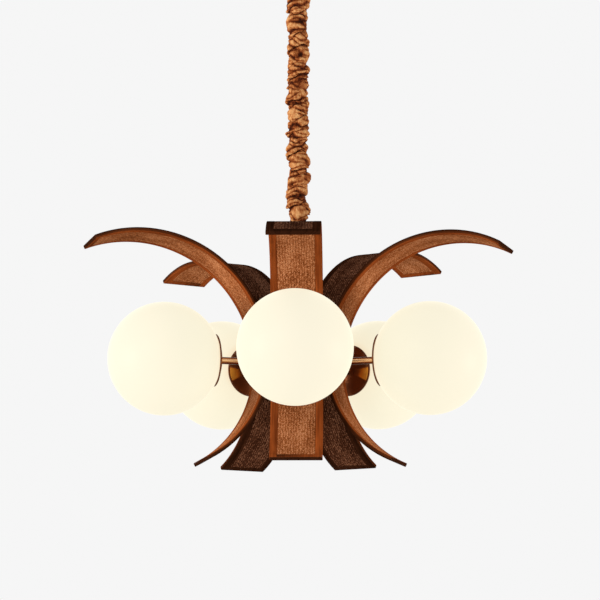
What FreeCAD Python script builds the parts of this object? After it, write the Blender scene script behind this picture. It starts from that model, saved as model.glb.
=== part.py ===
"""Orb chandelier: five bent, woven-faced fronds and five opal globes on a brass hub,
hung from a ceiling canopy by a chain in a gathered hemp sleeve.

Frame: millimetres, +Z up, origin where the axis meets the ceiling. Azimuth 0 is the front,
towards -Y, and grows towards +X.
"""
import FreeCAD, Part
import os
from math import asin, cos, pi, radians, sin, sqrt, tau

Vec = FreeCAD.Vector
ORIGIN = Vec(0, 0, 0)
UP = Vec(0, 0, 1)
OUTWARD = Vec(0, -1, 0)

# Ceiling bracket, a strap bent into a shallow U, and what stands on it
BRACKET_HOLE_SPACING = 88.9
BRACKET_HOLE_R = 2.4
BRACKET_WIDTH = 20.0
BRACKET_THICK = 2.0
BRACKET_DROP = 16.0
FOOT_START = 32.0
FOOT_END = 56.0
TERMINAL_BLOCK = (16.0, 18.0, 9.0)
TERMINAL_X = 12.0
LEAD_R = 0.9
LEAD_PITCH = 2.2
LEAD_BEND = 4.0

# Threaded pipe, shared by the canopy, the hub and the lampholders
PIPE_R = 4.8
PIPE_BORE_R = 3.5
PIPE_CLEAR = 0.1
NUT_FLATS = 14.0
NUT_THICK = 5.0
PIPE_TOP = -7.0

# Canopy, a spun dome over the bracket
CANOPY_R = 63.5
CANOPY_LIP = 6.0
CANOPY_DEPTH = 56.0
CANOPY_WALL = 1.3
CANOPY_BOSS_R = 16.0

# Loops that end the chain, each a ring standing on a bored collar
COLLAR_R = 11.0
COLLAR_HEIGHT = 12.0
COLLAR_THREAD = 8.0
RING_R = 11.5
RING_WIRE_R = 2.5
RING_SINK = 4.5

# Chain of long welded links
LINK_WIRE_R = 2.0
LINK_BOW_R = 8.5
LINK_CENTRES = 46.0
LINK_COUNT = 15
LINK_GAP = 0.2

# Flex beside the chain, in the corner between the two planes of links
FLEX_R = 2.5
FLEX_X = 5.1
FLEX_Y = 4.6
FLEX_END_GAP = 3.2
FLEX_LINK_GAP = 6.0

# Gathered sleeve: puffs of cloth between drawn-in necks
SLEEVE_PUFFS = 24
SLEEVE_CREST_R = 20.2
SLEEVE_NECK_R = 15.6
SLEEVE_BORE_R = 13.2
SLEEVE_WALL = 3.0
SLEEVE_MOUTH_R = 19.0
SLEEVE_MOUTH_LENGTH = 35.0
SLEEVE_OVER = 35.0
SLEEVE_UNDER = 27.0

# Hub, a five-sided housing closed from below
HUB_APOTHEM = 42.0
HUB_HALF_HEIGHT = 26.0
HUB_WALL = 3.0
HUB_EDGE_R = 5.0
COVER_THICK = 2.5
COVER_LIP = 4.0
JUNCTION_R = 18.0
JUNCTION_HALF_HEIGHT = 7.0
BALL_R = 9.0
BALL_DROP = 17.0
PIPE_THREAD_BELOW = 9.0

# Arms and their clamps
ARM_R = 6.35
ARM_BORE_R = 4.9
ARM_START = 34.0
ARM_NUT_THICK = 4.0
SPACER_R = 11.0
WASHER_R = 15.0
WASHER_THICK = 3.2
COLLAR_NUT_R = 10.5
COLLAR_NUT_LENGTH = 9.0
HOLE_CLEAR = 0.1

# Fronds: strips bent to a C, and their woven panels let into both faces
FROND_WAIST_R = 72.0
FROND_WIDTH = 92.0
FROND_THICK = 7.0
FROND_BEND_STEP = 60.0
FROND_EDGE = 0.8
PANEL_RIM = 13.0
PANEL_END_RIM = 11.0
PANEL_THICK = 1.0
PANEL_SINK = 0.2

# Globes, cups and what is inside them, measured along the arm from the hub's axis
GLOBE_ORBIT = 245.5
GLOBE_R = 100.0
GLOBE_WALL = 2.6
GLOBE_MOUTH_R = 29.0
GLOBE_NECK_END = 164.0
CUP_CLEAR = 0.6
CUP_WALL = 1.5
CUP_RIM_R = 45.5
CUP_SEAT_R = 15.0
CUP_BEAD_R = 1.2
GALLERY_R = 28.7
GALLERY_WALL = 1.2
GALLERY_FLARE_END = 152.8
HOLDER_R = 18.0
HOLDER_BORE_R = 13.5
HOLDER_LENGTH = 43.0
HOLDER_FLOOR = 11.0
BULB_CAP_R = 13.1
BULB_CAP_LENGTH = 27.0
BULB_R = 22.5
BULB_LENGTH = 80.0
BULB_WALL = 1.0

# The fronds as bent by hand: azimuth, radius of the first upper bend, radius after it, whole
# upper angle, radius and angle of the lower bend, and how far each is turned about its arm
FRONDS = {
    "front": (0.0, 199.0, 217.0, 121.5, 208.0, 61.0, 0.0),
    "right": (72.0, 213.0, 209.0, 118.0, 194.0, 67.5, -3.0),
    "back_right": (144.0, 229.0, 202.0, 119.0, 196.0, 62.0, 0.0),
    "back_left": (216.0, 206.0, 211.0, 117.5, 195.0, 64.0, 0.0),
    "left": (288.0, 217.0, 223.0, 112.5, 198.0, 64.0, 4.0),
}

# Heights that follow from the stack
COLLAR_TOP_Z = -CANOPY_DEPTH
COLLAR_END_Z = COLLAR_TOP_Z - COLLAR_HEIGHT
RING_OFFSET = RING_R + RING_WIRE_R - RING_SINK
TOP_PIVOT_Z = COLLAR_END_Z - RING_OFFSET - RING_R
END_STEP = RING_WIRE_R + LINK_WIRE_R + LINK_GAP
LINK_STEP = LINK_CENTRES - 2 * LINK_WIRE_R - LINK_GAP
FIRST_BOW_Z = TOP_PIVOT_Z + END_STEP - LINK_CENTRES
BOW_Z = [FIRST_BOW_Z - LINK_STEP * i for i in range(LINK_COUNT)]
LOWER_RING_Z = BOW_Z[-1] + END_STEP - RING_R
HUB_TOP_Z = LOWER_RING_Z - RING_OFFSET - COLLAR_HEIGHT
ARM_Z = HUB_TOP_Z - HUB_HALF_HEIGHT
SLEEVE_TOP_Z = BOW_Z[0] + SLEEVE_OVER
SLEEVE_END_Z = BOW_Z[-2] - SLEEVE_UNDER
CUP_INNER_R = GLOBE_R + CUP_CLEAR
CUP_OUTER_R = CUP_INNER_R + CUP_WALL
SEAT_INNER = GLOBE_ORBIT - sqrt(CUP_INNER_R**2 - CUP_SEAT_R**2)
SEAT_OUTER = SEAT_INNER - CUP_WALL


def save(name, *solids):
    """Write one node, as its one solid or as a group of separate solids."""
    shape = solids[0] if len(solids) == 1 else Part.makeCompound(list(solids))
    shape.exportStep("parts/" + name + ".step")


def outline(place, start, *steps):
    """A closed face from a start point and steps. A step is a point, for a straight edge,
    or a pair of points, for an arc through the first to the second."""
    edges = []
    here = start
    for step in steps + (start,):
        if isinstance(step[0], tuple):
            via, end = step
            edges.append(Part.Arc(place(here), place(via), place(end)).toShape())
        else:
            end = step
            if end != here:
                edges.append(Part.LineSegment(place(here), place(end)).toShape())
        here = end
    return Part.Face(Part.Wire(edges))


def turned(start, *steps):
    """A solid of revolution about +Z from an outline of (radius, height)."""
    face = outline(lambda p: Vec(p[0], 0, p[1]), start, *steps)
    return face.revolve(ORIGIN, UP, 360)


def rod(radius, low, high, x=0.0, y=0.0):
    return Part.makeCylinder(radius, high - low, Vec(x, y, low), UP)


def tube(outer, inner, low, high):
    return rod(outer, low, high).cut(rod(inner, low - 1, high + 1))


def hexagon_nut(bore, low, high, flats=NUT_FLATS):
    corner = flats / 2 / cos(radians(30))
    points = [Vec(corner * cos(i * tau / 6), corner * sin(i * tau / 6), low) for i in range(7)]
    blank = Part.Face(Part.makePolygon(points)).extrude(Vec(0, 0, high - low))
    return blank.cut(rod(bore, low - 1, high + 1))


def out_along_arm(shape, azimuth):
    """Turn a shape built up along +Z so that it points out along the arm at this azimuth."""
    placed = shape.copy()
    placed.rotate(ORIGIN, Vec(1, 0, 0), 90)
    placed.rotate(ORIGIN, UP, azimuth)
    placed.translate(Vec(0, 0, ARM_Z))
    return placed


def swept(radius, start, *steps):
    """A round tube along straight runs and the tangent arcs between them."""
    edges = []
    here = start
    for step in steps:
        if isinstance(step, tuple):
            via, end = step
            edges.append(Part.Arc(here, via, end).toShape())
        else:
            end = step
            edges.append(Part.LineSegment(here, end).toShape())
        here = end
    path = Part.Wire(edges)
    direction = edges[0].tangentAt(edges[0].FirstParameter)
    section = Part.Wire(Part.Circle(start, direction, radius).toShape())
    return path.makePipeShell([section], True, False)


def ceiling_bracket():
    def at(p):
        return Vec(p[0], -BRACKET_WIDTH / 2, p[1])

    web_top = BRACKET_THICK - BRACKET_DROP
    strap = outline(
        at,
        (-FOOT_END, 0.0),
        (-FOOT_START, 0.0),
        (-FOOT_START, web_top),
        (FOOT_START, web_top),
        (FOOT_START, 0.0),
        (FOOT_END, 0.0),
        (FOOT_END, -BRACKET_THICK),
        (FOOT_START + BRACKET_THICK, -BRACKET_THICK),
        (FOOT_START + BRACKET_THICK, -BRACKET_DROP),
        (-FOOT_START - BRACKET_THICK, -BRACKET_DROP),
        (-FOOT_START - BRACKET_THICK, -BRACKET_THICK),
        (-FOOT_END, -BRACKET_THICK),
    ).extrude(Vec(0, BRACKET_WIDTH, 0))
    for x in (-BRACKET_HOLE_SPACING / 2, BRACKET_HOLE_SPACING / 2):
        strap = strap.cut(rod(BRACKET_HOLE_R, -BRACKET_DROP, 1, x))
    return strap.cut(rod(PIPE_R + PIPE_CLEAR, -BRACKET_DROP - 1, 1))


def canopy():
    """Lip, shoulder and ogee neck down to a flat boss, spun from one sheet."""
    def skin(inset):
        lip = -CANOPY_LIP + 0.4 * inset
        shoulder = (0.63 * CANOPY_R - 0.6 * inset, -0.64 * CANOPY_DEPTH + 0.9 * inset)
        rim = (CANOPY_R - inset, lip)
        over = (0.9 * CANOPY_R - 0.9 * inset, -0.43 * CANOPY_DEPTH + 0.6 * inset)
        under = (0.38 * CANOPY_R - 0.6 * inset, -0.79 * CANOPY_DEPTH + 0.9 * inset)
        boss = (CANOPY_BOSS_R - inset, -CANOPY_DEPTH + 2.0 + 0.4 * inset)
        floor = -CANOPY_DEPTH + inset
        top = (CANOPY_R - inset, inset)
        return turned((0.0, inset), top, rim, (over, shoulder), (under, boss),
                      (CANOPY_BOSS_R - inset, floor), (0.0, floor))

    dome = skin(0.0).cut(skin(CANOPY_WALL))
    return dome.cut(rod(PIPE_R + PIPE_CLEAR, -CANOPY_DEPTH - 1, -CANOPY_DEPTH + 3))


def chain_loop():
    """Collar below z 0 with its ring hanging under it, in the YZ plane."""
    collar = rod(COLLAR_R, -COLLAR_HEIGHT, 0.0)
    collar = collar.makeChamfer(1.2, [e for e in collar.Edges if e.Closed])
    centre = Vec(0, 0, -COLLAR_HEIGHT - RING_OFFSET)
    ring = Part.makeTorus(RING_R, RING_WIRE_R, centre, Vec(1, 0, 0))
    loop = collar.fuse(ring).removeSplitter()
    loop = loop.cut(rod(PIPE_R + PIPE_CLEAR, -COLLAR_THREAD, 1))
    return loop.cut(rod(PIPE_BORE_R, -COLLAR_HEIGHT - RING_SINK, 1))


def chain_link(bow_z, turn):
    """A welded link whose lower bow's wire centre is at bow_z, in the XZ plane, then turned."""
    low = bow_z + LINK_BOW_R
    high = bow_z + LINK_CENTRES - LINK_BOW_R
    bow = Part.makeTorus(LINK_BOW_R, LINK_WIRE_R, ORIGIN, UP, 0, 360, 180)
    bow.rotate(ORIGIN, Vec(1, 0, 0), 90)
    upper = bow.translated(Vec(0, 0, high))
    bow.rotate(ORIGIN, Vec(0, 1, 0), 180)
    lower = bow.translated(Vec(0, 0, low))
    sides = [rod(LINK_WIRE_R, low, high, x) for x in (-LINK_BOW_R, LINK_BOW_R)]
    link = upper.fuse([lower] + sides).removeSplitter()
    link.rotate(ORIGIN, UP, turn)
    return link


def flex_to_side(collar_end, tip, start):
    """Flex from a loop's bore, through the eye and out beside the link that hangs in it."""
    way = Vec(FLEX_X, FLEX_Y, 0)
    shift = way.Length
    way.normalize()
    drop = -1.0 if tip < collar_end else 1.0
    length = 15.0
    radius = (length**2 + shift**2) / (4 * shift)
    angle = asin(length / 2 / radius)

    def at(side, along):
        return way * side + Vec(0, 0, collar_end + drop * along)

    def bend(a):
        return at(radius * (1 - cos(a)), radius * sin(a))

    def unbend(a):
        return at(shift - radius * (1 - cos(a)), length - radius * sin(a))

    side_run = Vec(FLEX_X, FLEX_Y, tip)
    return swept(FLEX_R, Vec(0, 0, start), at(0, 0), (bend(angle / 2), bend(angle)),
                 (unbend(angle / 2), unbend(0)), side_run)


def sleeve():
    """Ruled loft through four circles a puff, whose width and lean change from puff to puff,
    bored for the chain and flared at both mouths, where the end links swing."""
    pitch = (SLEEVE_TOP_Z - SLEEVE_END_Z) / SLEEVE_PUFFS
    rings = []

    def ring(z, radius, lean):
        from_end = min(SLEEVE_TOP_Z - z, z - SLEEVE_END_Z)
        flare = max(0.0, 1 - from_end / SLEEVE_MOUTH_LENGTH)
        bore = SLEEVE_BORE_R + flare * (SLEEVE_MOUTH_R - SLEEVE_BORE_R)
        centre = Vec(1.1 * cos(lean), 1.1 * sin(lean), z)
        width = max(radius, bore + SLEEVE_WALL)
        rings.append(Part.Wire(Part.Circle(centre, UP, width).toShape()))

    for i in range(SLEEVE_PUFFS):
        top = SLEEVE_TOP_Z - i * pitch
        full = SLEEVE_CREST_R + 1.1 * sin(2.3 * i) + 0.5 * sin(5.1 * i)
        neck = SLEEVE_NECK_R + 0.6 * sin(3.7 * i + 1)
        lean = 2.4 * i
        crest = (0.30 + 0.08 * sin(4.3 * i)) * pitch
        ring(top, neck, lean)
        ring(top - crest, full, lean)
        ring(top - crest - 0.3 * pitch, full - 0.9, lean + 0.8)
        ring(top - 0.88 * pitch, neck + 1.2, lean + 1.6)
    ring(SLEEVE_END_Z, SLEEVE_NECK_R, 0.0)
    cloth = Part.makeLoft(rings, True, True)
    reach = SLEEVE_MOUTH_LENGTH
    bore = turned(
        (0.0, SLEEVE_END_Z), (SLEEVE_MOUTH_R, SLEEVE_END_Z),
        (SLEEVE_BORE_R, SLEEVE_END_Z + reach), (SLEEVE_BORE_R, SLEEVE_TOP_Z - reach),
        (SLEEVE_MOUTH_R, SLEEVE_TOP_Z), (0.0, SLEEVE_TOP_Z),
    )
    return cloth.cut(bore)


def pentagon(apothem, low, high):
    """Five-sided prism with a flat facing each arm and rounded upright edges."""
    corner = apothem / cos(pi / 5)
    points = []
    for i in range(6):
        a = tau * (i + 0.5) / 5
        points.append(Vec(corner * sin(a), -corner * cos(a), low))
    prism = Part.Face(Part.makePolygon(points)).extrude(Vec(0, 0, high - low))
    upright = [e for e in prism.Edges if abs(e.tangentAt(e.FirstParameter).z) > 0.9]
    return prism.makeFillet(HUB_EDGE_R * apothem / HUB_APOTHEM, upright)


def hub_body():
    low, high = ARM_Z - HUB_HALF_HEIGHT, ARM_Z + HUB_HALF_HEIGHT
    body = pentagon(HUB_APOTHEM, low, high)
    body = body.cut(pentagon(HUB_APOTHEM - HUB_WALL, low - 1, high - HUB_WALL))
    body = body.cut(rod(PIPE_R + PIPE_CLEAR, high - HUB_WALL - 1, high + 1))
    for azimuth, *_ in FRONDS.values():
        body = body.cut(out_along_arm(rod(ARM_R + HOLE_CLEAR, 30, HUB_APOTHEM + 1), azimuth))
    return body


def hub_cover():
    low = ARM_Z - HUB_HALF_HEIGHT - COVER_THICK
    plate = pentagon(HUB_APOTHEM, low, low + COVER_THICK)
    inset = HUB_APOTHEM - HUB_WALL - 0.2
    lip = pentagon(inset, low + 1, low + COVER_THICK + COVER_LIP)
    lip = lip.cut(pentagon(inset - 2, low + COVER_THICK, low + COVER_THICK + COVER_LIP + 1))
    return plate.fuse(lip).removeSplitter().cut(rod(PIPE_R + PIPE_CLEAR, low - 1, low + 9))


def finial():
    """Turned nut: disc, cove and ball with a small round tip."""
    top = ARM_Z - HUB_HALF_HEIGHT - COVER_THICK
    ball = top - BALL_DROP

    def on_ball(height):
        return (sqrt(BALL_R**2 - height**2), ball + height)

    knob = turned(
        (0.0, top), (13.0, top), (13.0, top - 2), ((8.6, top - 3.8), (6.4, top - 8)),
        on_ball(6.8), (on_ball(0.0), on_ball(-7.6)), (3.0, ball - 8.6), (3.0, ball - 10),
        ((3 * cos(pi / 4), ball - 10 - 3 * sin(pi / 4)), (0.0, ball - 13)),
    )
    return knob.cut(rod(PIPE_R + PIPE_CLEAR, top - PIPE_THREAD_BELOW, top + 1))


def face_line(name, off, rim):
    """A frond's profile as seven points of (radius, height): its lower end, waist, knee and
    upper end, with a point on each bend between them. off is the depth below the hollow face
    and rim the length left bare at each end."""
    _, first, second, upper, lower_r, lower, _ = FRONDS[name]
    step = radians(FROND_BEND_STEP)
    top = radians(upper) - rim / second
    low = radians(lower) - rim / lower_r
    knee_r = FROND_WAIST_R + (first - second) * (1 - cos(step))
    knee_z = (first - second) * sin(step)

    def fall(a):
        return (FROND_WAIST_R + lower_r - (lower_r + off) * cos(a), -(lower_r + off) * sin(a))

    def rise(a):
        return (FROND_WAIST_R + first - (first + off) * cos(a), (first + off) * sin(a))

    def reach(a):
        return (knee_r + second - (second + off) * cos(a), knee_z + (second + off) * sin(a))

    return (fall(low), fall(low / 2), fall(0), rise(step / 2), rise(step),
            reach((step + top) / 2), reach(top))


def bent_strip(name, near, far, rim, half_width):
    """The part of a frond between two depths below its hollow face, before it is turned."""
    p = face_line(name, near, rim)
    q = face_line(name, far, rim)
    face = outline(lambda point: Vec(-half_width, -point[0], point[1]),
                   p[0], (p[1], p[2]), (p[3], p[4]), (p[5], p[6]),
                   q[6], (q[5], q[4]), (q[3], q[2]), (q[1], q[0]))
    return face.extrude(Vec(2 * half_width, 0, 0))


def turn_frond(shape, name):
    """Turn a piece of a frond about its arm, then swing it round to its place."""
    azimuth = FRONDS[name][0]
    roll = FRONDS[name][-1]
    placed = shape.copy()
    placed.rotate(ORIGIN, OUTWARD, roll)
    placed.rotate(ORIGIN, UP, azimuth)
    placed.translate(Vec(0, 0, ARM_Z))
    return placed


def arm_hole(radius):
    hole = rod(radius, 50, 100)
    hole.rotate(ORIGIN, Vec(1, 0, 0), 90)
    return hole


def frond(name):
    depth = PANEL_THICK + PANEL_SINK
    half = FROND_WIDTH / 2
    strip = bent_strip(name, 0, FROND_THICK, 0, half)
    long_edges = [e for e in strip.Edges if e.Length > 100 and abs(e.CenterOfMass.x) > half - 1]
    strip = strip.makeChamfer(FROND_EDGE, long_edges)
    inside = half - PANEL_RIM
    strip = strip.cut(bent_strip(name, -1, depth, PANEL_END_RIM, inside))
    strip = strip.cut(bent_strip(name, FROND_THICK - depth, FROND_THICK + 1, PANEL_END_RIM, inside))
    return turn_frond(strip.cut(arm_hole(ARM_R + HOLE_CLEAR)), name)


def panel(name, near):
    inside = FROND_WIDTH / 2 - PANEL_RIM
    sheet = bent_strip(name, near, near + PANEL_THICK, PANEL_END_RIM, inside)
    return turn_frond(sheet.cut(arm_hole(ARM_R + HOLE_CLEAR)), name)


def globe():
    """Blown shell with its mouth turned in as a neck over the gallery."""
    inner = GLOBE_R - GLOBE_WALL
    neck = GLOBE_MOUTH_R + GLOBE_WALL
    mouth = GLOBE_ORBIT - sqrt(GLOBE_R**2 - GLOBE_MOUTH_R**2)
    root = GLOBE_ORBIT - sqrt(inner**2 - neck**2)
    return turned(
        (GLOBE_MOUTH_R, mouth),
        ((GLOBE_R, GLOBE_ORBIT), (0.0, GLOBE_ORBIT + GLOBE_R)),
        (0.0, GLOBE_ORBIT + inner),
        ((inner, GLOBE_ORBIT), (neck, root)),
        (neck, GLOBE_NECK_END),
        (GLOBE_MOUTH_R, GLOBE_NECK_END),
    )


def cup():
    """Shallow spun dish that follows the globe, flat at its seat, beaded at its rim."""
    def on(radius, r):
        return (r, GLOBE_ORBIT - sqrt(radius**2 - r**2))

    hole = PIPE_R + PIPE_CLEAR
    middle = (CUP_SEAT_R + CUP_RIM_R) / 2
    dish = turned(
        (hole, SEAT_OUTER), (CUP_SEAT_R, SEAT_OUTER),
        (on(CUP_OUTER_R, middle), on(CUP_OUTER_R, CUP_RIM_R)),
        on(CUP_INNER_R, CUP_RIM_R),
        (on(CUP_INNER_R, middle), (CUP_SEAT_R, SEAT_INNER)), (hole, SEAT_INNER),
    )
    bead = Part.makeTorus(CUP_RIM_R, CUP_BEAD_R, Vec(0, 0, on(CUP_OUTER_R, CUP_RIM_R)[1]), UP)
    clear = Part.makeSphere(CUP_INNER_R, Vec(0, 0, GLOBE_ORBIT))
    return dish.fuse(bead.cut(clear)).removeSplitter()


def gallery():
    """Spun collar on the cup that the globe's neck screws over."""
    hole = PIPE_R + PIPE_CLEAR
    wall = GALLERY_WALL
    return turned(
        (hole, SEAT_INNER), (CUP_SEAT_R - 1, SEAT_INNER), (GALLERY_R, GALLERY_FLARE_END),
        (GALLERY_R, GLOBE_NECK_END), (GALLERY_R - wall, GLOBE_NECK_END),
        (GALLERY_R - wall, GALLERY_FLARE_END + 0.6), (CUP_SEAT_R - 1.4, SEAT_INNER + wall),
        (hole, SEAT_INNER + wall),
    )


def lampholder():
    """Ceramic shell with a foot, a waist band and the bore for the lamp cap."""
    base = SEAT_INNER + GALLERY_WALL
    hole = PIPE_R + PIPE_CLEAR
    floor = base + HOLDER_FLOOR
    end = base + HOLDER_LENGTH
    return turned(
        (hole, base), (HOLDER_R - 5, base), (HOLDER_R - 5, base + 4), (HOLDER_R, base + 8),
        (HOLDER_R, end - 8), (HOLDER_R - 1.5, end - 6), (HOLDER_R - 1.5, end),
        (HOLDER_BORE_R, end), (HOLDER_BORE_R, floor), (hole, floor),
    )


def bulb():
    """Small round lamp: contact, cap, neck and blown globe, hollow past the cap."""
    contact = SEAT_INNER + GALLERY_WALL + HOLDER_FLOOR
    cap = contact + 2.5
    neck = cap + BULB_CAP_LENGTH
    tip = contact + BULB_LENGTH
    centre = tip - BULB_R

    def shape(inset, start):
        r = BULB_R - inset
        cap_r = BULB_CAP_R - inset
        shoulder = (r * cos(radians(35)), centre - r * sin(radians(35)))
        via = (0.72 * cap_r + 0.28 * shoulder[0], 0.55 * neck + 0.45 * shoulder[1])
        return (cap_r, start), (cap_r, neck), (via, shoulder), ((r, centre), (0.0, tip - inset))

    outer = turned((0.0, contact), (4.0, contact), (6.0, cap), *shape(0.0, cap))
    start = neck - 4
    return outer.cut(turned((0.0, start), *shape(BULB_WALL, start)))


def centre_pipe(low, high, window):
    pipe = tube(PIPE_R, PIPE_BORE_R, low, high)
    if window:
        slot = Part.makeBox(2 * PIPE_R + 2, 4.0, 8.0, Vec(-PIPE_R - 1, -2.0, ARM_Z - 4))
        pipe = pipe.cut(slot)
    return pipe


def ceiling_leads():
    """Three cores that leave the pipe's top and bend over into the terminal block."""
    start = PIPE_TOP - 2.5
    leads = []
    for i in (-1, 0, 1):
        y = i * LEAD_PITCH
        turn = PIPE_TOP + LEAD_BEND
        middle = Vec(LEAD_BEND * (1 - cos(pi / 4)), y, PIPE_TOP + LEAD_BEND * sin(pi / 4))
        leads.append(swept(LEAD_R, Vec(0, y, start), Vec(0, y, PIPE_TOP),
                           (middle, Vec(LEAD_BEND, y, turn)), Vec(TERMINAL_X, y, turn)))
    return leads


def terminal_block():
    length, width, height = TERMINAL_BLOCK
    corner = Vec(TERMINAL_X, -width / 2, BRACKET_THICK - BRACKET_DROP)
    block = Part.makeBox(length, width, height + 3, corner)
    step = Part.makeBox(4, width + 2, 3, corner + Vec(length - 4, -1, height))
    return block.cut(step)


os.makedirs("parts", exist_ok=True)

save("ceiling_bracket", ceiling_bracket())
save("canopy_pipe", centre_pipe(COLLAR_TOP_Z - COLLAR_THREAD, PIPE_TOP, False))
web_under = -BRACKET_DROP
web_over = BRACKET_THICK - BRACKET_DROP
save("pipe_nuts",
     hexagon_nut(PIPE_R + PIPE_CLEAR, web_under - NUT_THICK, web_under),
     hexagon_nut(PIPE_R + PIPE_CLEAR, web_over, web_over + NUT_THICK))
save("terminal_block", terminal_block())
save("ceiling_leads", *ceiling_leads())
save("canopy", canopy())
top_loop = chain_loop()
top_loop.translate(Vec(0, 0, COLLAR_TOP_Z))
save("canopy_loop", top_loop)

links = [chain_link(z, 90 * (i % 2)) for i, z in enumerate(BOW_Z)]
save("top_link", links[0])
save("chain", *links[1:-1])
save("bottom_link", links[-1])

flex_top = PIPE_TOP - 2.5
flex_low = ARM_Z + JUNCTION_HALF_HEIGHT
save("flex_ceiling", flex_to_side(COLLAR_END_Z, TOP_PIVOT_Z - FLEX_END_GAP, flex_top))
save("flex_top_link", rod(FLEX_R, BOW_Z[0] + FLEX_END_GAP, TOP_PIVOT_Z - 2 * FLEX_END_GAP,
                          FLEX_X, FLEX_Y))
save("flex_chain", rod(FLEX_R, BOW_Z[-2] + FLEX_LINK_GAP, BOW_Z[0] - FLEX_LINK_GAP,
                       FLEX_X, FLEX_Y))
save("flex_bottom_link", rod(FLEX_R, BOW_Z[-1] + 2 * FLEX_END_GAP, BOW_Z[-2] - FLEX_END_GAP,
                             FLEX_X, FLEX_Y))
save("flex_hub", flex_to_side(HUB_TOP_Z + COLLAR_HEIGHT, BOW_Z[-1] + FLEX_END_GAP, flex_low))
save("hemp_sleeve", sleeve())

lower_loop = chain_loop()
lower_loop.rotate(ORIGIN, Vec(1, 0, 0), 180)
lower_loop.translate(Vec(0, 0, HUB_TOP_Z))
save("hub_loop", lower_loop)
cover_low = ARM_Z - HUB_HALF_HEIGHT - COVER_THICK
save("hub_pipe", centre_pipe(cover_low - PIPE_THREAD_BELOW, HUB_TOP_Z + COLLAR_THREAD, True))
save("hub_pipe_nut", hexagon_nut(PIPE_R + PIPE_CLEAR, HUB_TOP_Z - HUB_WALL - NUT_THICK,
                                 HUB_TOP_Z - HUB_WALL))
save("hub_body", hub_body())
save("junction_block", tube(JUNCTION_R, PIPE_R + PIPE_CLEAR, ARM_Z - JUNCTION_HALF_HEIGHT,
                            ARM_Z + JUNCTION_HALF_HEIGHT))
save("hub_cover", hub_cover())
save("finial", finial())

outer_panels = []
inner_panels = []
clear_arm = ARM_R + HOLE_CLEAR
wall_inside = HUB_APOTHEM - HUB_WALL
washer_end = FROND_WAIST_R + WASHER_THICK
repeated = {
    "arm_lock_nuts": hexagon_nut(clear_arm, wall_inside - ARM_NUT_THICK, wall_inside, 19.0),
    "arm_spacers": tube(SPACER_R, clear_arm, HUB_APOTHEM, FROND_WAIST_R),
    "saddle_washers": tube(WASHER_R, clear_arm, FROND_WAIST_R - FROND_THICK, washer_end),
    "arm_collar_nuts": tube(COLLAR_NUT_R, clear_arm, washer_end, washer_end + COLLAR_NUT_LENGTH),
    "cup_pipes": tube(PIPE_R, PIPE_BORE_R, SEAT_OUTER - 14, SEAT_INNER + 10),
    "globe_galleries": gallery(),
    "lampholders": lampholder(),
    "arm_leads": rod(1.8, JUNCTION_R, SEAT_INNER + GALLERY_WALL + HOLDER_FLOOR),
}
single = {"arm": tube(ARM_R, ARM_BORE_R, ARM_START, SEAT_OUTER), "cup": cup(),
          "bulb": bulb(), "globe": globe()}
groups = {group: [] for group in repeated}
for name, (azimuth, *_) in FRONDS.items():
    strip = frond(name)
    hollow_side = panel(name, PANEL_SINK)
    full_side = panel(name, FROND_THICK - PANEL_SINK - PANEL_THICK)
    save("frond_" + name, strip)
    outer_panels.append(hollow_side)
    inner_panels.append(full_side)
    for group, blank in repeated.items():
        piece = out_along_arm(blank, azimuth)
        if group in ("arm_spacers", "saddle_washers"):
            for neighbour in (strip, hollow_side, full_side):
                piece = piece.cut(neighbour)
            piece = max(piece.Solids, key=lambda solid: solid.Volume)
        groups[group].append(piece)
    for kind, blank in single.items():
        save(kind + "_" + name, out_along_arm(blank, azimuth))
save("outer_weaves", *outer_panels)
save("inner_weaves", *inner_panels)
for group, solids in groups.items():
    save(group, *solids)
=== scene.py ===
"""Looks of the orb chandelier: woven, bent fronds, lit opal globes, antique brass and a
gathered hemp sleeve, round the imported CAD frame. Metres, +Z up, front towards -Y."""

import bmesh
import bpy
import numpy as np
from mathutils import Matrix


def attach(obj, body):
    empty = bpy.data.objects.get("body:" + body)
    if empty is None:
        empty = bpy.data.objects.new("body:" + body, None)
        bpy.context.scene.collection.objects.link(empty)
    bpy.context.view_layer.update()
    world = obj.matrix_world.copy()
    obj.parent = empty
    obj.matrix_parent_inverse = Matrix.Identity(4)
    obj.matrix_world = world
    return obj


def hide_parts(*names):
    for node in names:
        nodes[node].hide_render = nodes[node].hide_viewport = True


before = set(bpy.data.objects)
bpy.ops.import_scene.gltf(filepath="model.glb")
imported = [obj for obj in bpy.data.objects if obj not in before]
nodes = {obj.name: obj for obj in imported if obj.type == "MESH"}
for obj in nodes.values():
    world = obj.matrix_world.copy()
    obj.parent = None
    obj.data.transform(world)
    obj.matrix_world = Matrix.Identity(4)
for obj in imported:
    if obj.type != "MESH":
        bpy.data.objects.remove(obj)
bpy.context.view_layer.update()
scene = bpy.context.scene

# Places taken from the stack of the CAD part
ARM_Z = -0.7698
SLEEVE_TOP = -0.0950
SLEEVE_END = -0.7005
GLOBE_ORBIT = 0.2455
GLOBE_R = 0.100
ARM_R = 0.0064

# Points round each spun piece and round the sleeve
ROUND_STEPS = 96

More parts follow.
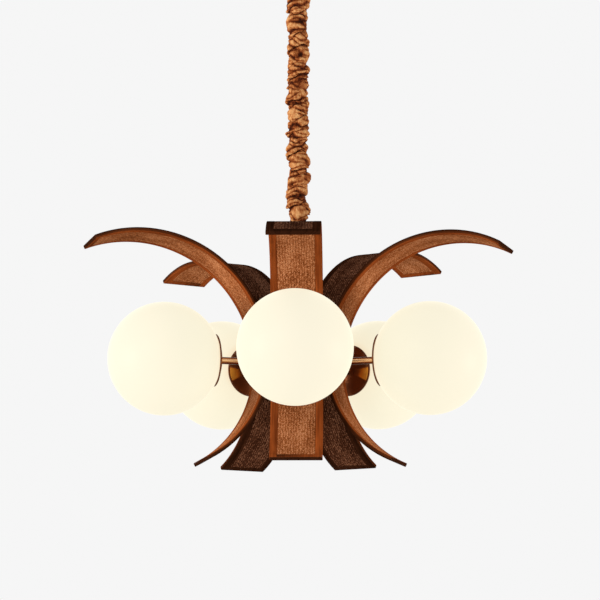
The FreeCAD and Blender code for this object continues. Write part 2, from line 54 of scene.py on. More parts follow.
# A frond's own sizes, with a panel's gap to its recess all round and its lift off the bottom,
# and each frond as bent by hand: azimuth, radius of the first upper bend, radius after it, whole
# upper angle, radius and angle of the lower bend, turn about its arm
WAIST_R = 0.072
FROND_HALF = 0.046
FROND_THICK = 0.007
KNEE = np.radians(60.0)
RIM = 0.013
END_RIM = 0.011
PANEL_SINK = 0.0002
PANEL_THICK = 0.001
PANEL_GAP = 0.0002
PANEL_LIFT = 0.0001
FRONDS = {
    "front": (0.0, 0.199, 0.217, 121.5, 0.208, 61.0, 0.0),
    "right": (72.0, 0.213, 0.209, 118.0, 0.194, 67.5, -3.0),
    "back_right": (144.0, 0.229, 0.202, 119.0, 0.196, 62.0, 0.0),
    "back_left": (216.0, 0.206, 0.211, 117.5, 0.195, 64.0, 0.0),
    "left": (288.0, 0.217, 0.223, 112.5, 0.198, 64.0, 4.0),
}

# The sleeve: its cloth, its girth as flat cloth, the puffs of its one long fold,
# and the flare of its two mouths. Shares are of its length, at each end
SLEEVE_GIRTH = 0.14
CLOTH_THICK = 0.0006
PUFFS = 19.0
TUCK_R = 0.0138
PUFF_DEPTH = 0.0092
MOUTH_FLARE = 0.0060
MOUTH_SHARE = 0.055
HEM_SHARE = 0.012

# Finer folds across the puffs. A ripple is (size, turns round, turns down, start): folds wander by
# the ripples in wander, and lie slack by base plus the ripple in slack, kept from 0 to 1. A ridge
# lifts by depth times its height over level. Darkness is how much painted shade its creases get,
# narrow is of the creases, and share is the set's part in how open the cloth's face is, which
# lightens the colour on the ridges
FOLD_SETS = [
    {"down": 47, "around": 2, "wander": [(1.5, 1, 9.3, 0.0), (0.7, 3, -17.0, 0.0)],
     "base": 0.65, "slack": (0.75, 1, 13.3, 1.0), "depth": 0.0056, "level": 0.8,
     "darkness": 1.0, "narrow": 1.7, "share": 0.4},
    {"down": 71, "around": -1, "wander": [(1.7, 2, 21.0, 0.0), (1.2, 1, -31.0, 0.0)],
     "base": 0.60, "slack": (0.80, 2, -7.7, 2.0), "depth": 0.0030, "level": 0.75,
     "darkness": 0.8, "narrow": 1.8, "share": 0.3},
    {"down": 97, "around": 1, "wander": [(1.8, 2, 14.0, 0.0), (1.0, 3, -25.0, 0.0)],
     "base": 0.45, "slack": (0.85, 1, -10.3, 0.0), "depth": 0.0016, "level": 0.7,
     "darkness": 0.6, "narrow": 1.7, "share": 0.3},
]

# Stage: the pale grey that floor and world show, the light that the world casts, the share of the
# floor's look that is plain grey, and the lamps as place, aim, width, watts, colour
PALE = (0.921, 0.921, 0.921, 1.0)
SOFT = (1.0, 0.98, 0.95, 1.0)
SOFT_STRENGTH = 0.36
FLOOR_Z = -2.45
FLOOR_HALF = 9.0
FLOOR_GLOW = 0.9
LAMPS = {
    "key": ((-1.6, -3.2, 0.2), (0, 0, -0.75), 1.6, 37.0, (1.0, 0.96, 0.9)),
    "fill": ((2.4, -2.8, -1.0), (0, 0, -0.75), 2.0, 4.0, (1.0, 0.96, 0.9)),
    "left_side": ((-3.1, -1.3, -0.8), (0, 0, -0.7), 1.6, 92.0, (1.0, 0.87, 0.70)),
    "right_side": ((3.3, -0.3, -1.1), (0, 0, -0.7), 1.6, 72.0, (1.0, 0.87, 0.70)),
}


# Making meshes from grids of points

def surface(name, points, round_rows=False, round_columns=False, ends=False, uv=None, tone=None):
    """A piece from a grid of points, rows by columns by 3. Quads join neighbours, wrapping where
    asked, and ends closes the first and last row with a face each. uv and tone are values on
    the same grid."""
    rows, columns = points.shape[:2]
    last_row = rows if round_rows else rows - 1
    last_column = columns if round_columns else columns - 1
    r, c = np.meshgrid(np.arange(last_row), np.arange(last_column), indexing="ij")
    below = ((r + 1) % rows) * columns
    beside = (c + 1) % columns
    quads = np.stack([r * columns + c, r * columns + beside, below + beside, below + c], -1)
    faces = quads.reshape(-1, 4).tolist()
    if ends:
        faces.append(np.arange(columns)[::-1].tolist())
        faces.append((np.arange(columns) + (rows - 1) * columns).tolist())
    mesh = bpy.data.meshes.new(name)
    mesh.from_pydata(points.reshape(-1, 3), [], faces)
    corner = np.zeros(len(mesh.loops), np.int32)
    mesh.loops.foreach_get("vertex_index", corner)
    if uv is not None:
        layer = mesh.uv_layers.new(name="UVMap")
        placed = uv.reshape(-1, 2)[corner].astype(np.float32)
        layer.data.foreach_set("uv", placed.ravel())
    if tone is not None:
        layer = mesh.attributes.new("tone", "FLOAT", "POINT")
        layer.data.foreach_set("value", tone.ravel().astype(np.float32))
    mesh.validate()
    work = bmesh.new()
    work.from_mesh(mesh)
    bmesh.ops.remove_doubles(work, verts=work.verts, dist=1e-7)
    bmesh.ops.recalc_face_normals(work, faces=work.faces)
    work.to_mesh(mesh)
    work.free()
    mesh.shade_smooth()
    piece = bpy.data.objects.new(name, mesh)
    scene.collection.objects.link(piece)
    return piece


def swung(x, y, z, azimuth):
    """Points given about the axis at azimuth 0, z from the arms' level, swung to this azimuth."""
    a = np.radians(azimuth)
    return np.stack([x * np.cos(a) - y * np.sin(a), x * np.sin(a) + y * np.cos(a), z + ARM_Z], -1)


def along_arm(points, azimuth):
    """Points built with +Z along the arm, turned to point out at this azimuth."""
    return swung(points[..., 0], -points[..., 2], points[..., 1], azimuth)


def spun(profile):
    """A grid of points: the (radius, height) profile carried round +Z."""
    angle = np.linspace(0, 2 * np.pi, ROUND_STEPS, endpoint=False)[:, None]
    radius, height = np.asarray(profile, float).T
    return np.stack([radius * np.cos(angle), radius * np.sin(angle), height + 0 * angle], -1)


def arc(centre, radius, start, end, count):
    """Points (radius, height) on a circle, angles in degrees from the radius axis."""
    a = np.radians(np.linspace(start, end, count))
    return np.stack([centre[0] + radius * np.cos(a), centre[1] + radius * np.sin(a)], -1)


# Materials

def material(name, colour, roughness, metallic=0.0, gloss=0.5):
    """A material with one Principled shader, and its node tree and shader."""
    made = bpy.data.materials.new(name)
    made.use_nodes = True
    tree = made.node_tree
    shader = tree.nodes["Principled BSDF"]
    shader.inputs["Base Color"].default_value = (*colour, 1.0)
    shader.inputs["Roughness"].default_value = roughness
    shader.inputs["Metallic"].default_value = metallic
    shader.inputs["Specular IOR Level"].default_value = gloss
    return made, tree, shader


def node(tree, kind, *inputs, **settings):
    """A node with its inputs in order: a socket is linked, None is left, a value is set."""
    made = tree.nodes.new(kind)
    for key, value in settings.items():
        setattr(made, key, value)
    for socket, value in zip(made.inputs, inputs):
        if isinstance(value, bpy.types.NodeSocket):
            tree.links.new(value, socket)
        elif value is not None:
            socket.default_value = value
    return made


def stretched_noise(tree, coordinate, scale, detail=3.0, roughness=0.55):
    """Noise on a coordinate scaled unevenly, as streaks are."""
    scaled = node(tree, "ShaderNodeMapping", coordinate)
    scaled.inputs["Scale"].default_value = scale
    noise = node(tree, "ShaderNodeTexNoise", scaled.outputs[0])
    noise.inputs["Scale"].default_value = 1.0
    noise.inputs["Detail"].default_value = detail
    noise.inputs["Roughness"].default_value = roughness
    return noise.outputs["Fac"]


def ramp(tree, value, *stops):
    """A colour ramp from (place, colour) stops."""
    made = node(tree, "ShaderNodeValToRGB", value)
    band = made.color_ramp
    while len(band.elements) < len(stops):
        band.elements.new(0.5)
    for element, (place, colour) in zip(band.elements, stops):
        element.position = place
        element.color = (*colour, 1.0)
    return made.outputs["Color"]


def math(tree, operation, a, b=0.0):
    """One step of arithmetic on sockets or numbers."""
    return node(tree, "ShaderNodeMath", a, b, operation=operation).outputs[0]


def weighted(tree, *parts):
    """The sum of (value, weight) pairs."""
    total = None
    for value, weight in parts:
        share = math(tree, "MULTIPLY", value, weight)
        total = share if total is None else math(tree, "ADD", total, share)
    return total


def centred(tree, noise):
    """Noise moved from round a half to round zero."""
    return math(tree, "SUBTRACT", noise, 0.5)


def wave(tree, value, rate, shift=0.0):
    """Sine of the value times rate, plus shift."""
    return math(tree, "SINE", math(tree, "ADD", math(tree, "MULTIPLY", value, rate), shift))


def mixed_colour(tree, share, first, second):
    """The first colour, going to the second as share goes from 0 to 1."""
    unused = (None,) * 5
    made = node(tree, "ShaderNodeMix", share, *unused, first, second, data_type="RGBA")
    return made.outputs[2]


def uv_parts(tree):
    """The UV, then its first and its second part alone."""
    uv = node(tree, "ShaderNodeUVMap", uv_map="UVMap").outputs[0]
    part = node(tree, "ShaderNodeSeparateXYZ", uv)
    return uv, part.outputs[0], part.outputs[1]


def object_place(tree):
    """Where a point lies in its object, in metres."""
    return node(tree, "ShaderNodeTexCoord").outputs["Object"]


def tone_of(tree):
    """The tone that surface() stored on the points."""
    return node(tree, "ShaderNodeAttribute", attribute_name="tone").outputs["Fac"]


def bump(tree, shader, height, strength, distance):
    """Relief from a height, its strength and its depth in metres."""
    made = node(tree, "ShaderNodeBump")
    made.inputs["Strength"].default_value = strength
    made.inputs["Distance"].default_value = distance
    tree.links.new(height, made.inputs["Height"])
    tree.links.new(made.outputs[0], shader.inputs["Normal"])


def weave(name, furrow_with_painted_shade, middle, crest_with_painted_highlight, spread, roughness):
    """Coarse plain weave without gloss: knots on a grid of wandering threads, a knot being the
    product of a sine across and a sine along, uneven threads both ways between them, on a UV in
    metres, and slow patches of stain. The threads' height paints shade into the furrows and
    highlights onto the crests in place of gloss; spread is how far the colour goes to furrow or
    crest."""
    made, tree, shader = material(name, middle, roughness, gloss=0.0)
    uv, along, across = uv_parts(tree)
    long_threads = stretched_noise(tree, uv, (170.0, 430.0, 1.0))
    cross_threads = stretched_noise(tree, uv, (420.0, 210.0, 1.0))
    patches = stretched_noise(tree, uv, (16.0, 30.0, 1.0), 2.0)
    wander = math(tree, "MULTIPLY", stretched_noise(tree, uv, (70.0, 110.0, 1.0), 2.0), 9.0)
    over = wave(tree, across, 1330.0, wander)
    under = wave(tree, along, 1190.0, wander)
    knots = math(tree, "MULTIPLY", over, math(tree, "ADD", under, 0.7))
    height = weighted(tree, (long_threads, 0.55), (cross_threads, 0.45), (knots, 0.06))
    shade = weighted(tree, (height, 1.0), (centred(tree, patches), 0.35))
    # Painted shade in the furrows and painted highlights on the crests, from the threads' height.
    colour = ramp(tree, shade, (0.5 - spread, furrow_with_painted_shade), (0.5, middle), (0.5 + spread, crest_with_painted_highlight))
    tree.links.new(colour, shader.inputs["Base Color"])
    bump(tree, shader, height, 0.8, 0.0018)
    return made


def stained_wood():
    """Smooth rims: tone 0 is the warm stain of the hollow side, tone 1 the near-black edges and
    tone -1 the arris between them, a pale painted highlight."""
    made, tree, shader = material("stained_wood", (0.2, 0.045, 0.01), 0.5, gloss=0.0)
    uv, _, _ = uv_parts(tree)
    streaks = stretched_noise(tree, uv, (9.0, 260.0, 1.0), 4.0)
    patches = stretched_noise(tree, uv, (14.0, 40.0, 1.0), 2.0)
    grain = weighted(tree, (streaks, 0.55), (patches, 0.45))
    warm = ramp(tree, grain, (0.38, (0.140, 0.030, 0.0070)), (0.62, (0.305, 0.072, 0.0165)))
    dark = ramp(tree, grain, (0.38, (0.016, 0.0050, 0.0022)), (0.62, (0.048, 0.0155, 0.0070)))
    tone = tone_of(tree)
    stain = mixed_colour(tree, tone, warm, dark)
    # Painted highlight: tone -1 on the arris mixes the stain towards pale.
    painted_arris_highlight = math(tree, "MULTIPLY", tone, -0.8)
    colour = mixed_colour(tree, painted_arris_highlight, stain, (0.66, 0.33, 0.18, 1.0))
    tree.links.new(colour, shader.inputs["Base Color"])
    bump(tree, shader, grain, 0.25, 0.0005)
    return made


def metal(name, low, high, roughness, scale=60.0):
    """Plated or aged metal: slow patches between two tones, and fine grain in the gloss."""
    made, tree, shader = material(name, high, roughness, 1.0)
    place = object_place(tree)
    patches = stretched_noise(tree, place, (scale, scale, scale), 4.0)
    tree.links.new(ramp(tree, patches, (0.35, low), (0.65, high)), shader.inputs["Base Color"])
    grain = stretched_noise(tree, place, (900.0, 900.0, 900.0), 2.0)
    spread = node(tree, "ShaderNodeMapRange", grain, 0.3, 0.7, roughness - 0.07, roughness + 0.09)
    tree.links.new(spread.outputs[0], shader.inputs["Roughness"])
    bump(tree, shader, grain, 0.08, 0.0002)
    return made


def tube_with_painted_reflection():
    """The arms' brass tubes, all level: a painted reflection, light where a tube stands out at mid
    height, the colour falling to dark with the distance above or below that, as a share of its
    radius."""
    made, tree, shader = material("arm_tube", (0.74, 0.40, 0.17), 0.2, 1.0)
    place = object_place(tree)
    level = node(tree, "ShaderNodeSeparateXYZ", place).outputs[2]
    above = math(tree, "SUBTRACT", level, ARM_Z)
    away = math(tree, "DIVIDE", math(tree, "ABSOLUTE", above), ARM_R)
    streaks = stretched_noise(tree, place, (45.0, 45.0, 700.0), 3.0)
    # Painted reflection: light along the middle of each tube, dark at its top and bottom, with
    # streaks.
    painted_sheen_and_mottling = weighted(tree, (away, 1.0), (centred(tree, streaks), 0.5))
    colour = ramp(tree, painted_sheen_and_mottling, (0.08, (0.93, 0.62, 0.36)), (0.30, (0.74, 0.38, 0.16)),
                  (0.62, (0.36, 0.135, 0.045)), (0.9, (0.10, 0.034, 0.012)))
    tree.links.new(colour, shader.inputs["Base Color"])
    bump(tree, shader, streaks, 0.06, 0.0002)
    return made


def lacquered_cup_painted_reflection():
    """Dark lacquer over spun brass, painted gold where a cup's tone nears 1: a painted reflection
    and highlight, broken by slow patches.
    """
    made, tree, shader = material("cup_brass", (0.19, 0.07, 0.02), 0.3, 0.7)
    patches = stretched_noise(tree, object_place(tree), (24.0, 24.0, 30.0), 4.0)
    # The cup's tone is a painted reflection; the patches add real mottling.
    painted_sheen_and_mottling = weighted(tree, (tone_of(tree), 1.0), (centred(tree, patches), 0.5))
    colour = ramp(tree, painted_sheen_and_mottling, (0.15, (0.150, 0.043, 0.011)), (0.45, (0.28, 0.088, 0.020)),
                  (0.66, (0.86, 0.28, 0.026)), (0.9, (1.0, 0.44, 0.055)))
    tree.links.new(colour, shader.inputs["Base Color"])
    return made


def plain(name, low, high, roughness, scale, depth=0.1):
    """Moulded or fired stuff: faint mottling between two tones and a fine surface grain."""
    made, tree, shader = material(name, high, roughness)
    place = object_place(tree)
    patches = stretched_noise(tree, place, (scale, scale, scale), 4.0)
    tree.links.new(ramp(tree, patches, (0.35, low), (0.65, high)), shader.inputs["Base Color"])
    grain = stretched_noise(tree, place, (1400.0, 1400.0, 1400.0), 2.0)
    bump(tree, shader, grain, depth, 0.0002)
    return made


def opal():
    """Opal glass lit from within: an even cream glow, warmer only close to the neck."""
    made, tree, shader = material("opal_glass", (0.13, 0.121, 0.110), 0.42, gloss=0.06)
    uv, _, rise = uv_parts(tree)
    cloud = stretched_noise(tree, uv, (2.2, 3.0, 1.0), 1.0)
    lift = weighted(tree, (rise, 1.0), (cloud, 0.12))
    glow = ramp(tree, lift, (0.05, (0.84, 0.60, 0.36)), (0.13, (0.88, 0.808, 0.61)),
                (0.26, (0.872, 0.822, 0.635)), (1.0, (0.855, 0.805, 0.642)))
    tree.links.new(glow, shader.inputs["Emission Color"])
    shader.inputs["Emission Strength"].default_value = 1.0
    return made


def hemp():
    """Coarse plain weave with slubs, on a UV in metres of flat cloth, with painted shade in its
    tucks.
    """
    made, tree, shader = material("hemp", (0.45, 0.20, 0.07), 0.9, gloss=0.1)
    uv, along, across = uv_parts(tree)
    slubs = stretched_noise(tree, uv, (420.0, 90.0, 1.0))
    cross = stretched_noise(tree, uv, (90.0, 420.0, 1.0))
    blotches = stretched_noise(tree, uv, (150.0, 150.0, 1.0), 2.0)
    knots = math(tree, "MULTIPLY", wave(tree, across, 4200.0), wave(tree, along, 4200.0))
    height = weighted(tree, (math(tree, "ADD", slubs, cross), 0.5), (knots, 0.12))
    grain = math(tree, "SUBTRACT", weighted(tree, (height, 0.5), (blotches, 0.6)), 0.30)
    shade = weighted(tree, (tone_of(tree), 0.55), (grain, 1.0))
    colour = ramp(tree, shade, (0.30, (0.018, 0.003, 0.0008)), (0.48, (0.095, 0.017, 0.0035)),
                  (0.62, (0.25, 0.064, 0.016)), (0.74, (0.46, 0.170, 0.055)),
                  (0.87, (0.72, 0.39, 0.17)))
    tree.links.new(colour, shader.inputs["Base Color"])
    bump(tree, shader, height, 0.6, 0.0012)
    return made


# Fronds

def bend_line(name, s):
    """A frond's hollow face at distances s along it from the waist, upwards positive: radius,
    height, and the outward and upward parts of the direction to its full face, from three arcs
    that meet in line."""
    _, first, second, _, lower_r, _, _ = FRONDS[name]
    rise = np.clip(s / first, 0, KNEE)
    reach = np.clip((s - first * KNEE) / second, 0, None)
    fall = np.clip(-s / lower_r, 0, None)
    up = rise + reach
    over = s > first * KNEE
    r1 = first * (1 - np.cos(rise))
    z1 = first * np.sin(rise)
    r2 = (first - second) * (1 - np.cos(KNEE)) + second * (1 - np.cos(up))
    z2 = (first - second) * np.sin(KNEE) + second * np.sin(up)
    radius = WAIST_R + np.where(over, r2, r1) + lower_r * (1 - np.cos(fall))
    height = np.where(over, z2, z1) - lower_r * np.sin(fall)
    below = s < 0
    outward = np.where(below, -np.cos(fall), -np.cos(up))
    upward = np.where(below, -np.sin(fall), np.sin(up))
    return radius, height, outward, upward


def placed_on_frond(name, s, across, depth):
    """Grid points of a frond from distance along it, distance across and depth below its hollow
    face, turned about the arm and swung to the frond's azimuth."""
    azimuth, *_, roll = FRONDS[name]
    radius, height, outward, upward = bend_line(name, s)
    x = across + 0 * s
    y = -(radius + outward * depth)
    z = height + upward * depth
    t = np.radians(-roll)
    x, z = x * np.cos(t) + z * np.sin(t), z * np.cos(t) - x * np.sin(t)
    return swung(x, y, z, azimuth)


def frond_length(name):
    """Distances along the bend from the waist to the lower and the upper tip."""
    _, first, second, upper, lower_r, lower, _ = FRONDS[name]
    top = first * KNEE + second * (np.radians(upper) - KNEE)
    return -lower_r * np.radians(lower), top


def frond_strip(name):
    """The bent strip: a closed section with rounded edges and a recess in both faces, carried
    along the bend. The recess ends square before each tip. Its tone goes by depth below the
    hollow face: a painted highlight on the arris, then stained dark from there down and at both
    tips."""
    low, top = frond_length(name)
    half, inside, thick, sunk = FROND_HALF, FROND_HALF - RIM, FROND_THICK, PANEL_SINK + PANEL_THICK
    ease, lip_across, lip_deep = 0.0011, 0.0004, 0.0003
    stain_from, stain_over, tip_stain, arris_from, arris_to = 0.0007, 0.0006, 0.0009, 0.0001, 0.0006
    quarter = arc((0.0, 0.0), ease, 0, 90, 4)
    corner = np.stack([half - ease + quarter[:, 0], thick - ease + quarter[:, 1]], -1)
    far_side = np.vstack([
        corner,
        [[inside + lip_across, thick], [inside, thick - lip_deep], [inside, thick - sunk]]])
    near_side = far_side[::-1] * (1, -1) + (0, thick)
    right = np.vstack([near_side, far_side])
    section = np.vstack([right, right[::-1] * (-1, 1)])
    across, depth = section.T
    is_recess = np.abs(across) <= inside + 1e-6
    flat_depth = np.where(is_recess, np.where(depth < thick / 2, 0.0, thick), depth)
    s = np.concatenate([
        [low, low + 0.0004, low + ease], [low + END_RIM - PANEL_GAP],
        np.linspace(low + END_RIM, top - END_RIM, 150),
        [top - END_RIM + PANEL_GAP], [top - ease, top - 0.0004, top]])[:, None]
    shown = (s >= low + END_RIM - 1e-9) & (s <= top - END_RIM + 1e-9)
    deep = np.where(shown, depth, flat_depth)
    tip = np.minimum(s - low, top - s)
    shrink = np.where(tip < ease, ease - np.sqrt(np.clip(ease**2 - (ease - tip) ** 2, 0, None)), 0)
    middle = thick / 2
    deep = middle + (deep - middle) * (1 - shrink / middle)
    wide = across * (1 - shrink / half)
    points = placed_on_frond(name, s, wide, deep)
    perimeter = np.concatenate([[0], np.cumsum(np.linalg.norm(np.diff(section, axis=0), axis=1))])
    uv = np.stack([s + 0 * across, perimeter + 0 * s], -1)
    tone = np.clip((depth - stain_from) / stain_over, 0, 1) + 0 * s
    on_edge = across**2 > (half - ease) ** 2
    # The arris gets tone -1, a painted highlight along the rounded edge.
    on_arris = (depth > arris_from) & (depth < arris_to) & on_edge
    tone = np.where(on_arris, -1.0, tone)
    tone = np.maximum(tone, np.clip(1 - tip / tip_stain, 0, 1))
    return surface("frond_strip_" + name, points, round_columns=True, ends=True, uv=uv, tone=tone)


def frond_panel(name, hollow):
    """A woven panel in one recess: a thin closed slab whose face swells by a tenth of a
    millimetre either way, with the lie of the threads."""
    low, top = frond_length(name)
    reach = FROND_HALF - RIM - PANEL_GAP
    s = np.linspace(low + END_RIM + PANEL_GAP, top - END_RIM - PANEL_GAP, 190)[:, None]
    v = np.linspace(-reach, reach, 40)
    swell = 0.00012 * np.sin(s * 410 + 3 * np.sin(v * 90)) * np.sin(v * 330 + 2 * np.sin(s * 60))
    edge = np.minimum(reach - np.abs(v), 0.001) / 0.001
    if hollow:
        face, back = PANEL_SINK - swell * edge, PANEL_SINK + PANEL_THICK - PANEL_LIFT + 0 * swell
    else:
        face = FROND_THICK - PANEL_SINK + swell * edge
        back = FROND_THICK - PANEL_SINK - PANEL_THICK + PANEL_LIFT + 0 * swell
    depth = np.concatenate([face, back[:, ::-1]], 1)
    across = np.concatenate([v, v[::-1]])
    points = placed_on_frond(name, s, across, depth)
    uv = np.stack([s + 0 * across, across + 0.0 * s], -1) + (0.37 * list(FRONDS).index(name), 0.0)
    side = "hollow" if hollow else "full"
    return surface(f"weave_{side}_{name}", points, round_columns=True, ends=True, uv=uv)


# Globes and cups

def globe(name, azimuth):
    """Blown shell: a sphere of revolution open at the back, its lip turned in to a neck."""
    wall, mouth = 0.0026, 0.029
    neck, neck_inside, lip = 0.1540, 0.1562, 0.1636
    opening = np.degrees(np.arcsin(mouth / GLOBE_R))
    inner = GLOBE_R - wall
    inside = np.degrees(np.arcsin((mouth + wall) / inner))
    profile = np.vstack([
        arc((0.0, GLOBE_ORBIT), GLOBE_R, 90.0, opening - 90.0, 90),
        [[mouth, neck], [mouth, lip]],
        arc((mouth + wall / 2, lip), wall / 2, 180.0, 0.0, 5)[1:],
        [[mouth + wall, neck_inside]],
        arc((0.0, GLOBE_ORBIT), inner, inside - 90.0, 90.0, 60),
    ])
    profile[[0, -1], 0] = 0.0
    grid = spun(profile)
    points = along_arm(grid, azimuth)
    rise = np.clip((grid[..., 2] - (GLOBE_ORBIT - GLOBE_R)) / (2 * GLOBE_R), 0, 1)
    turn = np.linspace(0, 1, ROUND_STEPS, endpoint=False)[:, None] + 0 * rise
    return surface("opal_globe_" + name, points, round_rows=True, uv=np.stack([turn, rise], -1))


def cup(name, azimuth):
    """Spun dish: a cap of a sphere with a flat seat, a shallow step and a rolled rim. Its tone
    holds a painted reflection in a wedge on either side, from the arm's level to 25 degrees below,
    fading over 8 degrees above that and 5 degrees beneath, and a faint painted highlight that grows
    towards the rim, none on the rolled rim."""
    inner, wall, seat, rim = 0.1006, 0.0015, 0.015, 0.0455
    hole, bead = 0.0049, 0.0012
    outer = inner + wall

    def slope(radius, r):
        return np.degrees(np.arcsin(r / radius)) - 90.0

    seat_outer = GLOBE_ORBIT - np.sqrt(inner**2 - seat**2) - wall
    rim_at = GLOBE_ORBIT - np.sqrt(outer**2 - rim**2)
    profile = np.vstack([
        [[hole, seat_outer], [0.0132, seat_outer], [0.0140, seat_outer + 0.0003]],
        arc((0.0, GLOBE_ORBIT), outer, slope(outer, seat + 0.0012), slope(outer, rim - 0.0014), 26),
        arc((rim, rim_at), bead, 195.0, 360.0, 9),
        arc((0.0, GLOBE_ORBIT), inner, slope(inner, rim + 0.0006), slope(inner, seat), 20),
        [[hole, seat_outer + wall]],
    ])
    grid = spun(profile)
    out = np.hypot(grid[..., 0], grid[..., 1])
    below = np.degrees(np.arctan2(-grid[..., 1], np.abs(grid[..., 0])))
    reflection_wedge = np.clip((below + 8) / 8, 0, 1) * np.clip((30 - below) / 5, 0, 1)
    # Painted reflection in the wedge, plus a painted highlight growing towards the rim.
    tone = reflection_wedge * np.clip(out / rim * 1.6 - 0.6, 0, 1) + 0.22 * np.clip(out / rim, 0, 1)
    tone = tone * np.clip((rim - bead - out) / 0.001, 0, 1)
    points = along_arm(grid, azimuth)
    return surface("brass_cup_" + name, points, round_rows=True, round_columns=True, tone=tone)


# Sleeve

def ripple(turn, whole, size, around, down, start):
    """A wave of this size: the sine of so many turns round and down, from its start."""
    return size * np.sin(around * turn + down * whole + start)


def sleeve_form(turn, fall):
    """The gathered cloth at an angle turn and a share fall of its cut length. One long fold winds
    down it as a helix, its phase warped by slow waves, so that puffs stand out on one side and
    then the other. Across a puff, radius follows a cosine and height a sine, from one sharp tuck
    to the next, and the puff sags a little as it stands out. Finer sets of folds cross the puffs
    where they are slack, each a rounded ridge, the size of its half phase's cosine, between sharp
    creases. Gives the points, the finer folds' lift off them and a tone that is painted shade:
    low in tucks and creases, high on the puffs and ridges."""
    whole = 2 * np.pi * fall
    warp = 0.95 * np.sin(5.3 * whole) + 0.6 * np.sin(11.9 * whole + 1.4)
    warp = warp + 0.8 * np.sin(2 * turn + 3.7 * whole) + 0.5 * np.sin(3 * turn - 9.1 * whole + 1.0)
    phase = PUFFS * whole + turn + warp
    place = phase / (2 * np.pi) % 1.0 - 0.5
    shape = np.cos(np.pi * place)
    full = 0.66 + 0.26 * np.sin(turn - 6.9 * whole + 0.5) + 0.18 * np.sin(2 * turn + 12.7 * whole)
    full = np.clip(full + 0.14 * np.sin(21.3 * whole + 2.0), 0.2, 1.05)
    from_end = np.minimum(fall, 1 - fall)
    ends = np.clip(from_end / HEM_SHARE, 0, 1)
    mouth = np.clip(1 - from_end / MOUTH_SHARE, 0, 1)
    puff = PUFF_DEPTH * full * shape * (1 - 0.6 * mouth) * ends
    radius = TUCK_R + MOUTH_FLARE * mouth + puff
    pitch = (SLEEVE_TOP - SLEEVE_END) / PUFFS
    bow = pitch * (place - 0.5 * np.sin(np.pi * place)) - 0.0042 * full * shape
    height = SLEEVE_TOP + (SLEEVE_END - SLEEVE_TOP) * fall + bow * ends
    sway = 0.0014 * np.sin(6.3 * whole) * ends
    points = np.stack([radius * np.cos(turn) + sway, radius * np.sin(turn), height], -1)
    body = np.sqrt(shape)
    lift = crease_shade = open_face = 0.0
    for fold in FOLD_SETS:
        phase = fold["down"] * whole + fold["around"] * turn
        for wandering in fold["wander"]:
            phase = phase + ripple(turn, whole, *wandering)
        ridge = np.abs(np.cos(phase / 2))
        slack = np.clip(fold["base"] + ripple(turn, whole, *fold["slack"]), 0, 1) * ends
        lift = lift + fold["depth"] * (ridge - fold["level"]) * slack * body
        crease_shade = crease_shade + fold["darkness"] * (1 - np.clip(ridge * fold["narrow"], 0, 1)) * slack
        open_face = open_face + fold["share"] * (1 - (1 - ridge) * slack)
    # Painted shade: the tone is low in the tucks and creases and high on the puffs and open ridges.
    tone = 0.55 * np.clip(shape * 1.35, 0, 1) ** 0.7 + 0.45 * open_face
    return points, lift * (1 - mouth), tone * (1 - 0.85 * np.clip(crease_shade, 0, 1))


def grid_normals(points):
    """Outward directions of a grid of points that closes round its columns, and its area."""
    around = np.roll(points, -1, 1) - np.roll(points, 1, 1)
    along = np.gradient(points, axis=0)
    normal = np.cross(around, along)
    area = 0.5 * np.linalg.norm(normal, axis=-1).sum()
    normal /= np.linalg.norm(normal, axis=-1, keepdims=True) + 1e-12
    outward = points * (1, 1, 0)
    return normal * np.sign((normal * outward).sum(-1).mean()), float(area)


def gathered_sleeve():
    """The sleeve as one closed sheet: its outer face, and an inner face set in by the cloth's
    thickness, joined round both ends."""
    turn = np.linspace(0, 2 * np.pi, ROUND_STEPS, endpoint=False)[None, :]
    fall = np.linspace(0, 1, 510)[:, None]
    points, lift, tone = sleeve_form(turn, fall)
    outer = points + grid_normals(points)[0] * lift[..., None]
    normal, area = grid_normals(outer)
    inner = outer - normal * CLOTH_THICK
    sheet = np.concatenate([outer, inner[::-1]])
    # The inner face gets a low tone, painted shade inside the sleeve.
    tones = np.concatenate([tone, 0 * tone + 0.3])
    length = np.concatenate([fall, fall[::-1]]) * area / SLEEVE_GIRTH + 0 * turn
    round_it = turn / (2 * np.pi) * SLEEVE_GIRTH + 0 * length
    uv = np.stack([length, round_it], -1)
    piece = surface("gathered_sleeve", sheet, round_rows=True, round_columns=True, uv=uv,
                    tone=tones)
    return piece, area


# Putting the pieces on their bodies

wood = stained_wood()
hollow_weave = weave("hollow_weave", (0.152, 0.043, 0.013), (0.31, 0.100, 0.035),
                     (0.54, 0.235, 0.115), 0.12, 0.7)
# The full faces' weave is painted far darker than the hollow faces': painted shade of the side
# turned away from the globes.
full_weave = weave("full_weave", (0.025, 0.0074, 0.0035), (0.066, 0.0218, 0.0104),
                   (0.245, 0.110, 0.064), 0.13, 0.6)
opal_glass = opal()
cup_brass = lacquered_cup_painted_reflection()
arm_brass = metal("arm_brass", (0.54, 0.26, 0.095), (0.74, 0.40, 0.17), 0.22, 25.0)
dark_brass = metal("dark_brass", (0.10, 0.048, 0.020), (0.24, 0.125, 0.05), 0.34)
chain_metal = metal("chain_metal", (0.12, 0.075, 0.045), (0.24, 0.15, 0.09), 0.36)
plated_steel = metal("plated_steel", (0.42, 0.41, 0.39), (0.58, 0.57, 0.54), 0.33)
flex_brown = plain("flex_brown", (0.09, 0.045, 0.02), (0.14, 0.075, 0.035), 0.45, 40.0)
lead_sheath = plain("lead_sheath", (0.55, 0.50, 0.40), (0.66, 0.61, 0.50), 0.5, 60.0)
block_plastic = plain("block_plastic", (0.74, 0.72, 0.66), (0.82, 0.80, 0.75), 0.4, 50.0)
